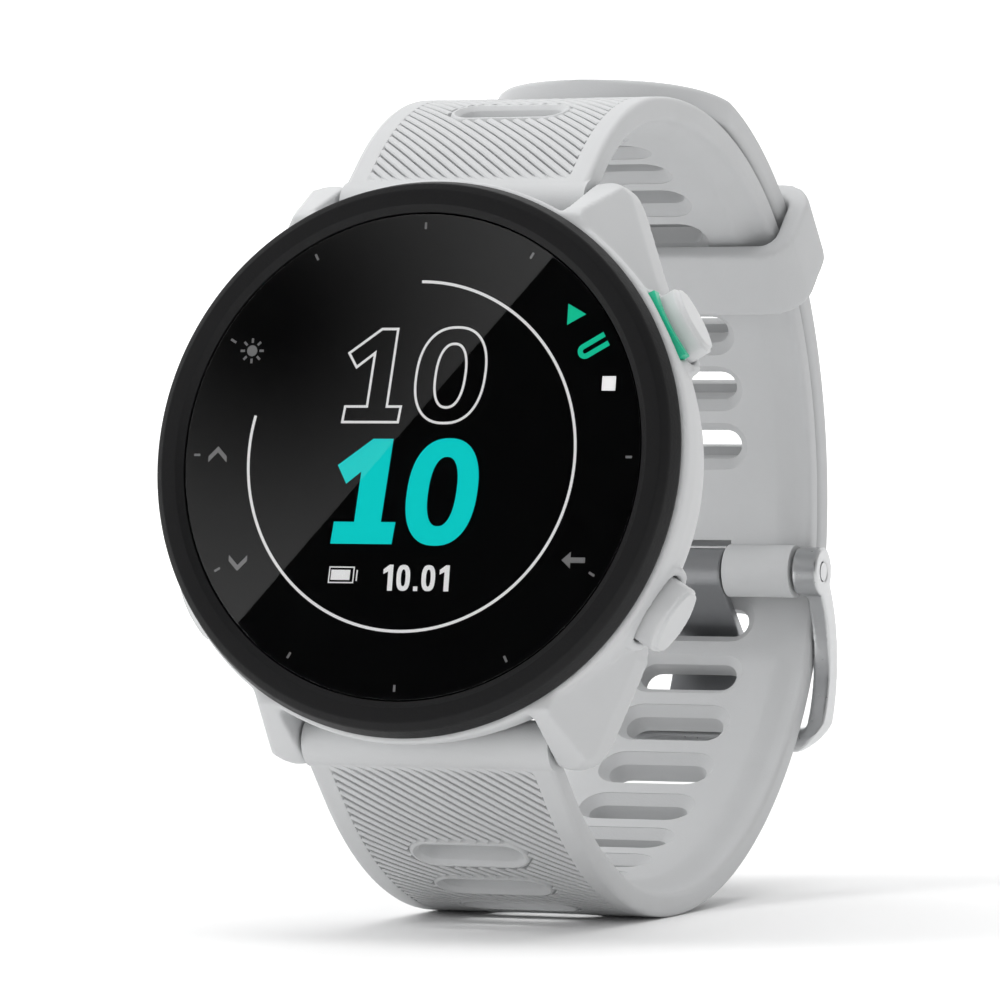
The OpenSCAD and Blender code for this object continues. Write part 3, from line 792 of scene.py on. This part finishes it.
def stations(bar, bends, fine_until, fine=0.16, coarse=0.55):
    """Points down the middle of the outer face, from the spring bar on, with the outward direction and the
    distance from the spring bar."""
    centre, radius, start, _ = bends[0]
    first = centre + radius * outwards(start)
    normal = outwards(start)
    along = Vector((-normal.y, normal.x))
    run = (first - side(bar)).dot(along)
    if run < 0:
        along = -along
        run = -run
    out = []
    steps = max(2, round(run / fine))
    for k in range(steps):
        out.append((first - along * run * (1 - k / steps), normal, run * k / steps))
    done = run
    for centre, radius, start, end in bends:
        length = abs(radians(end - start)) * radius
        travelled = 0.0
        while travelled < length - 1e-6:
            a = start + (end - start) * travelled / length
            out.append((centre + radius * outwards(a), outwards(a), done + travelled))
            travelled += fine if done + travelled < fine_until else coarse
        done += length
    centre, radius, _, end = bends[-1]
    out.append((centre + radius * outwards(end), outwards(end), done))
    return out


def section(half, middle, edge, columns):
    """Ring of (across, depth) points round the band, outer face first, and how many are on that face."""
    corner = min(0.45, half * 0.4)
    low = min(0.5, half * 0.4)
    run = min(2.8, half * 0.5)
    ring = [(-half + corner + (2 * half - 2 * corner) * k / columns, 0.0) for k in range(columns + 1)]
    outer = len(ring)
    right = []
    for k in range(1, 5):
        a = pi / 2 * k / 4
        right.append((half - corner + corner * sin(a), corner - corner * cos(a)))
    for k in range(0, 5):
        a = pi / 2 * k / 4
        right.append((half - low + low * cos(a), edge - low + low * sin(a)))
    for k in range(1, 7):
        t = k / 6
        blend = t * t * (3 - 2 * t)
        right.append((half - low - (run - low) * t, edge + (middle - edge) * blend))
    ring += right
    inside = 12
    reach = half - run
    ring += [(reach - 2 * reach * k / inside, middle) for k in range(1, inside)]
    ring += [(-x, d) for x, d in reversed(right)]
    return ring, outer


def smooth_step(low, high, value):
    t = max(0.0, min(1.0, (value - low) / (high - low)))
    return t * t * (3 - 2 * t)


def pill_distance(x, s, slot_s):
    """Distance outside a slot's outline, measured on the face."""
    dx = max(0.0, abs(x) - (SLOT_L - SLOT_W) / 2)
    return hypot(dx, s - slot_s) - SLOT_W / 2


def band_mesh(name, line, size_at, slot_marks, ribs):
    """Closed band along a line of stations. size_at gives half width, middle and edge thickness at a
    station. ribs holds the start, full, fade and end distances of the sunk panel that the ribs stand in."""
    columns = 136
    points = []
    faces = []
    x_mid = DIAL.x
    rings = []
    for place, normal, s in line:
        half, middle, edge = size_at(place, s)
        ring, outer = section(half, middle, edge, columns)
        rings.append(len(points))
        near = [m for m in slot_marks if abs(m - s) < 4]
        along = smooth_step(ribs[0], ribs[1], s) * (1 - smooth_step(ribs[2], ribs[3], s))
        for k, (x, depth) in enumerate(ring):
            level = 0.0
            if k < outer and along > 0:
                level = along * (1 - smooth_step(RIB_HALF - 0.12, RIB_HALF + 0.12, abs(x)))
                for m in near:
                    level *= smooth_step(0.55, 0.85, pill_distance(x, s, m))
            at = place - normal * (depth + RIB_DEPTH * level)
            points.append((x_mid + x, at.x, at.y))
    count = len(ring)
    for i in range(len(line) - 1):
        for k in range(count):
            m = (k + 1) % count
            faces.append((rings[i] + k, rings[i] + m, rings[i + 1] + m, rings[i + 1] + k))
    faces.append(tuple(range(rings[0], rings[0] + count)))
    faces.append(tuple(range(rings[-1], rings[-1] + count)))
    mesh = bpy.data.meshes.new(name)
    mesh.from_pydata([(x * MM, y * MM, z * MM) for x, y, z in points], [], faces)
    shape = bmesh.new()
    shape.from_mesh(mesh)
    bmesh.ops.recalc_face_normals(shape, faces=shape.faces)
    shape.to_mesh(mesh)
    shape.free()
    return mesh


def place_on(line, s):
    """Place and normal at a distance along a line of stations."""
    at = min(max(bisect_left(line, s, key=lambda st: st[2]), 1), len(line) - 1)
    before, after = line[at - 1], line[at]
    share = (s - before[2]) / (after[2] - before[2])
    return before[0].lerp(after[0], share), before[1].lerp(after[1], share).normalized()


def rib_bars(name, line, slot_marks, first, last, upwards, body):
    """Slanted ribs that stand in the sunk panel of a band, flush with its margins, broken by the slots."""
    sunk = -RIB_DEPTH - 0.05
    profile = ((-0.26, -0.1), (-0.14, -0.015), (0.2, -0.015), (0.25, -0.06), (0.25, sunk), (-0.26, sunk))
    turn = (sin(RIB_SLANT), upwards * cos(RIB_SLANT))
    reach = RIB_HALF * abs(turn[0]) + last * abs(turn[1])
    across = [-RIB_HALF - 0.1 + 0.2 * k for k in range(round(2 * (RIB_HALF + 0.1) / 0.2) + 1)]
    shape = bmesh.new()
    for n in range(-round(reach / RIB_PITCH), round(reach / RIB_PITCH) + 1):
        runs = [[]]
        for x in across:
            s = (n * RIB_PITCH - x * turn[0]) / turn[1]
            if first < s < last and all(pill_distance(x, s, m) > 0.66 for m in slot_marks):
                runs[-1].append((x, s))
            elif runs[-1]:
                runs.append([])
        for run in runs:
            if len(run) < 3:
                continue
            loops = []
            for x, s in run:
                loop = []
                for side_step, depth in profile:
                    place, normal = place_on(line, s + side_step * turn[1])
                    at = place + normal * depth
                    loop.append(shape.verts.new((DIAL.x + x + side_step * turn[0], at.x, at.y)))
                loops.append(loop)
            for a, b in zip(loops, loops[1:]):
                for k in range(len(a)):
                    m = (k + 1) % len(a)
                    shape.faces.new((a[k], a[m], b[m], b[k]))
            shape.faces.new(loops[0])
            shape.faces.new(loops[-1])
    bmesh.ops.recalc_face_normals(shape, faces=shape.faces)
    bmesh.ops.scale(shape, vec=(MM, MM, MM), verts=shape.verts)
    mesh = bpy.data.meshes.new(name)
    shape.to_mesh(mesh)
    shape.free()
    return finish_mesh(name, mesh, SILICONE, body)


def add_pill_cutter(shape, centre, radius, angle, thick, wide=1.0):
    """A cutter through the band at an angle on a bend: straight, with a flared mouth on each face."""
    outer_round = 0.4
    inner_round = 0.75
    levels = [(0.6, outer_round), (0.0, outer_round)]
    for k in range(1, 4):
        a = pi / 2 * k / 3
        levels.append((-outer_round * sin(a), outer_round * (1 - sin(a)) * 0.8))
    for k in range(0, 4):
        a = pi / 2 * k / 4
        levels.append((-thick + inner_round * cos(a), inner_round * (1 - cos(a))))
    levels += [(-thick, inner_round), (-thick - 0.8, inner_round)]
    normal = outwards(angle)
    along = Vector((-normal.y, normal.x))
    loops = []
    arc_steps = 10
    for level, grow in levels:
        loop = []
        r = SLOT_W * wide / 2 + grow
        reach = (SLOT_L - SLOT_W) / 2
        for end in (1, -1):
            for k in range(arc_steps + 1):
                a = -end * pi / 2 + pi * k / arc_steps
                loop.append((end * reach + r * cos(a), r * sin(a)))
        at = centre + (radius + level) * normal
        loops.append(
            [
                shape.verts.new(((DIAL.x + x), at.x + along.x * t, at.y + along.y * t))
                for x, t in loop
            ]
        )
    for a, b in zip(loops, loops[1:]):
        for k in range(len(a)):
            m = (k + 1) % len(a)
            shape.faces.new((a[k], a[m], b[m], b[k]))
    shape.faces.new(loops[0])
    shape.faces.new(loops[-1])


def add_rod(shape, place, radius, x0, x1, steps=40):
    """A closed cylinder along X about a side view place."""
    rims = []
    for x in (x0, x1):
        rims.append(
            [
                shape.verts.new((DIAL.x + x, place.x + radius * cos(a), place.y + radius * sin(a)))
                for a in [2 * pi * k / steps for k in range(steps)]
            ]
        )
    for k in range(steps):
        m = (k + 1) % steps
        shape.faces.new((rims[0][k], rims[0][m], rims[1][m], rims[1][k]))
    shape.faces.new(rims[0])
    shape.faces.new(rims[1])


def add_block(shape, low, high):
    """A closed box between two corners given as (across, away, up)."""
    made = bmesh.ops.create_cube(shape, size=1.0)
    size = Vector(high) - Vector(low)
    middle = (Vector(high) + Vector(low)) / 2
    for v in made["verts"]:
        v.co = Vector((v.co.x * size.x, v.co.y * size.y, v.co.z * size.z)) + middle


def tool(fill):
    """A mesh object for cutting or joining, filled by a function and turned outwards."""
    shape = bmesh.new()
    fill(shape)
    bmesh.ops.recalc_face_normals(shape, faces=shape.faces)
    bmesh.ops.scale(shape, vec=(MM, MM, MM), verts=shape.verts)
    mesh = bpy.data.meshes.new("tool")
    shape.to_mesh(mesh)
    shape.free()
    return temporary(mesh)


def shaped_band(name, mesh, body, joiner, cutter, replaced):
    """The parts joined on, then everything cut out."""
    work = temporary(mesh)
    tools = [tool(joiner), tool(cutter)]
    for label, operation, other in (("join", "UNION", tools[0]), ("cut", "DIFFERENCE", tools[1])):
        step = work.modifiers.new(label, "BOOLEAN")
        step.operation = operation
        step.object = other
        step.solver = "EXACT"
    done = evaluated(work)
    for other in tools:
        bpy.data.objects.remove(other)
    return finish_mesh(name, done, SILICONE, body, replaced, 40)


# slots as angles on each bend
upper_slots = [(bend, UPPER_R, 9.2 + 9.85 * k) for k in range(6)]
upper_slots += [(crown, CROWN_R, 67.6 + 8.2 * k) for k in range(4)]
upper_slots += [(brow, BROW_R, 109.1)]
lower_slots = [(bend, TAIL_R, 0.6 + 9.42 * k) for k in range(8)]
lower_slots += [(heel, HEEL_R, -10.35 - 11 * k) for k in range(4)]
lower_slots += [(foot, FOOT_R, -52.1 - 8.6 * k) for k in range(5)]
lower_slots += [(toe, TOE_R, -94.6 - 9.95 * k) for k in range(4)]


def slot_distances(line, slots):
    """Distance from the spring bar of each slot, from the station nearest to it."""
    out = []
    for centre, radius, angle in slots:
        spot = centre + radius * outwards(angle)
        out.append(min(line, key=lambda st: (st[0] - spot).length)[2])
    return out


def upper_size(place, s):
    return BAND_W / 2, BAND_T, EDGE_T


def tail_share(place):
    """0 where the strap is thick, 1 on the thin tail."""
    spot = place - heel
    angle = degrees(atan2(spot.y, spot.x))
    return smooth_step(THICK_A - 4, THICK_A + 3, angle) if -80 < angle < 150 else 0.0


def lower_size(place, s):
    thin = tail_share(place)
    half = BAND_W / 2
    tip = bend.x + TAIL_R * cos(radians(TIP_A)) + TIP_R
    ahead = tip - place.x
    if ahead > 0 and place.y > bend.y:
        half = min(half, sqrt(max(0.0004, TIP_R**2 - ahead**2)))
    middle = BAND_T + (TAIL_T - BAND_T) * thin
    edge = EDGE_T + (TAIL_T - 0.05 - EDGE_T) * thin
    return half, middle, edge


upper_bends = [(brow, BROW_R, BROW_END, BROW_A), *bend_upper]
upper_line = stations(UPPER_BAR, upper_bends, 31)
lower_line = stations(LOWER_BAR, [*bend_lower, (bend, TAIL_R, 0, TIP_A - 8)], 36)
# the tip closes over many short steps
lower_line = lower_line[:-1]
for k in range(40):
    a = TIP_A - 8 + 8 * (1 - (1 - k / 39) ** 2)
    lower_line.append((bend + TAIL_R * outwards(a), outwards(a), 140.0))

HUB_R = 2.15
HUB_HALF = 9.2
NOTCH_HALF = 3.45
BARREL_R = 1.9
pin = side(PIN)


def upper_joiner(shape):
    add_rod(shape, side(UPPER_BAR), BARREL_R, -BAND_W / 2 + 0.02, BAND_W / 2 - 0.02)
    add_rod(shape, pin, HUB_R, -HUB_HALF, HUB_HALF, 56)


def upper_cutter(shape):
    for centre, radius, angle in upper_slots:
        add_pill_cutter(shape, centre, radius, angle, BAND_T)
    add_block(
        shape,
        (DIAL.x - NOTCH_HALF, pin.x - 3.5, pin.y - 3.5),
        (DIAL.x + NOTCH_HALF, pin.x + 3.5, pin.y + 2.5),
    )


def lower_joiner(shape):
    add_rod(shape, side(LOWER_BAR), BARREL_R, -BAND_W / 2 + 0.02, BAND_W / 2 - 0.02)


def lower_cutter(shape):
    for centre, radius, angle in lower_slots:
        tail = tail_share(centre + radius * outwards(angle))
        add_pill_cutter(shape, centre, radius, angle, BAND_T + (TAIL_T - BAND_T) * tail)


upper_marks = slot_distances(upper_line, upper_slots)
lower_marks = slot_distances(lower_line, lower_slots)
# the sunk panels: where each starts, is full, starts to fade and ends, along the band
UPPER_PANEL = (0.6, 2.4, 24, 30)
LOWER_PANEL = (0.6, 2.4, 30, 36)
upper_mesh = band_mesh("upper_band", upper_line, upper_size, upper_marks, UPPER_PANEL)
shaped_band("upper_band", upper_mesh, "upper_strap", upper_joiner, upper_cutter, ["upper_strap"])
rib_bars("upper_ribs", upper_line, upper_marks, UPPER_PANEL[0], UPPER_PANEL[3], 1, "upper_strap")
lower_mesh = band_mesh("lower_band", lower_line, lower_size, lower_marks, LOWER_PANEL)
shaped_band("lower_band", lower_mesh, "lower_strap", lower_joiner, lower_cutter, ["lower_strap"])
rib_bars("lower_ribs", lower_line, lower_marks, LOWER_PANEL[0], LOWER_PANEL[3], -1, "lower_strap")

# ---- rounded copies of the moulded and pressed pieces ----

softened("mid_case", 0.2, 5, 0.45, CASE, "case")
softened("keeper", 0.25, 12, 1.0, SILICONE, "keeper")
softened("buckle_frame", 0.14, 4, 1.0, STEEL, "buckle_frame")
softened("buckle_tongue", 0.1, 3, 1.0, BLASTED, "buckle_tongue")
softened("start_collar", 0.07, 4, 1.0, GREEN, "case")
for button in BUTTONS:
    softened(button + "_button", 0.1, 5, 1.0, CAP, button + "_button")

# ---- floor, light and camera ----

CAMERA = Vector((195.907, -489.602, 42.3))
FORWARD = Vector((-0.379173, 0.925132, -0.018939))
# two places on the glass that the edge of the glare passes through, the place where the glare is darkest,
# the card's distance, and how far on the card the glow takes to rise
GLARE_EDGE = ((10.1, 14.6), (-13.0, -12.7))
GLARE_DARK = (-12.5, 10.5)
CARD_FAR = 400.0
CARD_RISE = 46.0


def swept_backdrop():
    """Pale paper that lies under the watch and sweeps up behind it."""
    depth = 1500.0
    bend_r = 500.0
    half = 2500.0
    height = 3000.0
    steps = 16
    profile = [(-half, 0.0), (depth, 0.0)]
    for k in range(1, steps + 1):
        a = pi / 2 * k / steps
        profile.append((depth + bend_r * sin(a), bend_r - bend_r * cos(a)))
    profile.append((depth + bend_r, height))
    shape = bmesh.new()
    rows = [[shape.verts.new((x * MM, y * MM, z * MM)) for x in (-half, half)] for y, z in profile]
    for a, b in zip(rows, rows[1:]):
        shape.faces.new((a[0], a[1], b[1], b[0]))
    mesh = bpy.data.meshes.new("backdrop")
    shape.to_mesh(mesh)
    shape.free()
    for face in mesh.polygons:
        face.use_smooth = True
    made = bpy.data.objects.new("backdrop", mesh)
    bpy.context.scene.collection.objects.link(made)
    made.rotation_euler.z = radians(22)
    paper, tree, shader = material("seamless white paper with painted glow", colour("#f8f8f8"), 0.9, Specular_IOR_Level=0.0)
    # the paper round the watch is lit from above only; further out it also glows with painted light that
    # grows with distance from the watch and stands in for a lamp from behind
    place = add(tree, "ShaderNodeTexCoord")
    away = add(tree, "ShaderNodeVectorMath", {"operation": "LENGTH"}, {0: place.outputs["Object"]})
    glow = add(
        tree,
        "ShaderNodeMapRange",
        {"interpolation_type": "SMOOTHSTEP"},
        {"Value": away.outputs["Value"], "From Min": 0.12, "From Max": 0.7, "To Min": 0.0, "To Max": 0.56},
    )
    shader.inputs["Emission Color"].default_value = (1, 1, 1, 1)
    tree.links.new(glow.outputs["Result"], shader.inputs["Emission Strength"])
    mesh.materials.append(paper)


def soft_light(name, place, aim, size, power):
    """Rectangular lamp at a place, turned to an aim point; its own shape is not seen in reflections."""
    lamp_data = bpy.data.lights.new(name, "AREA")
    lamp_data.shape = "RECTANGLE"
    lamp_data.size = size[0] * MM
    lamp_data.size_y = size[1] * MM
    lamp_data.energy = power
    made = bpy.data.objects.new(name, lamp_data)
    made.location = Vector(place) * MM
    made.visible_glossy = False
    direction = (Vector(aim) - Vector(place)).normalized()
    made.rotation_euler = direction.to_track_quat("-Z", "Y").to_euler()
    bpy.context.scene.collection.objects.link(made)


def dial_card():
    """Graduated card that only glass and metal see. Its sharp lower edge crosses the dial's reflection
    from one place on the glass to another. Above the edge the glow rises from a dark spot, and below
    it there is none."""
    glass = LENS_TOP * dial_z
    mirrored = CAMERA - 2 * (CAMERA - DIAL - glass).dot(dial_z) * dial_z
    edge = []
    for x, y in GLARE_EDGE:
        spot = DIAL + glass + x * dial_x + y * dial_y
        edge.append(spot + (spot - mirrored).normalized() * CARD_FAR)
    along = (edge[0] - edge[1]).normalized()
    middle = (edge[0] + edge[1]) / 2
    facing = (mirrored - middle).normalized()
    facing = (facing - facing.dot(along) * along).normalized()
    above = facing.cross(along)
    if above.dot(dial_y) < 0:
        above = -above
    shape = bmesh.new()
    reach = 700
    for x, y in ((-reach, -reach), (reach, -reach), (reach, reach), (-reach, reach)):
        shape.verts.new((x * MM, y * MM, 0))
    shape.faces.new(shape.verts)
    mesh = bpy.data.meshes.new("dial_card")
    shape.to_mesh(mesh)
    shape.free()
    made = bpy.data.objects.new("dial_card", mesh)
    bpy.context.scene.collection.objects.link(made)
    outward = along.cross(above)
    turn = Matrix((along, above, outward)).transposed().to_4x4()
    turn.translation = middle * MM
    made.matrix_world = turn
    towards = DIAL + glass + GLARE_DARK[0] * dial_x + GLARE_DARK[1] * dial_y - mirrored
    darkest = mirrored + towards * ((middle - mirrored).dot(outward) / towards.dot(outward)) - middle
    card, tree, shader = material("graduated card", colour("#020202"), 1.0, Specular_IOR_Level=0.0)
    place = add(tree, "ShaderNodeTexCoord")
    split = add(tree, "ShaderNodeSeparateXYZ", inputs={"Vector": place.outputs["Object"]})
    away = add(
        tree,
        "ShaderNodeVectorMath",
        {"operation": "DISTANCE"},
        {0: place.outputs["Object"], 1: (darkest.dot(along) * MM, darkest.dot(above) * MM, 0)},
    )
    fade = add(
        tree,
        "ShaderNodeMapRange",
        {"interpolation_type": "SMOOTHSTEP"},
        {
            "Value": away.outputs["Value"],
            "From Min": 0.002,
            "From Max": CARD_RISE * MM,
            "To Min": 0.01,
            "To Max": 0.5,
        },
    )
    lit = add(tree, "ShaderNodeMath", {"operation": "GREATER_THAN"}, {0: split.outputs["Y"], 1: 0.0})
    product = {0: fade.outputs["Result"], 1: lit.outputs[0]}
    glow = add(tree, "ShaderNodeMath", {"operation": "MULTIPLY"}, product)
    shader.inputs["Emission Color"].default_value = (1, 1, 1, 1)
    tree.links.new(glow.outputs[0], shader.inputs["Emission Strength"])
    mesh.materials.append(card)
    made.visible_camera = False
    made.visible_diffuse = False
    made.visible_shadow = False
    made.visible_transmission = False


swept_backdrop()
dial_card()
soft_light("overhead", (0, 0, 700), (0, 0, 0), (600, 600), 2.6)
soft_light("key", (-500, -350, 650), (0, 0, 35), (400, 400), 1.8)
soft_light("front fill", (-350, -650, 200), (0, 0, 30), (500, 400), 1.1)
bpy.context.scene.view_settings.view_transform = "Standard"

world = bpy.data.worlds.new("studio")
bpy.context.scene.world = world
world.use_nodes = True
world.node_tree.nodes["Background"].inputs["Color"].default_value = (1, 1, 1, 1)
world.node_tree.nodes["Background"].inputs["Strength"].default_value = 0.5

lens = bpy.data.cameras.new("camera")
lens.sensor_width = 36
lens.lens = 242.03
lens.clip_start = 0.01
lens.clip_end = 20
eye = bpy.data.objects.new("camera", lens)
eye.location = CAMERA * MM
eye.rotation_euler = FORWARD.to_track_quat("-Z", "Y").to_euler()
bpy.context.scene.collection.objects.link(eye)
bpy.context.scene.camera = eye

bpy.context.view_layer.update()
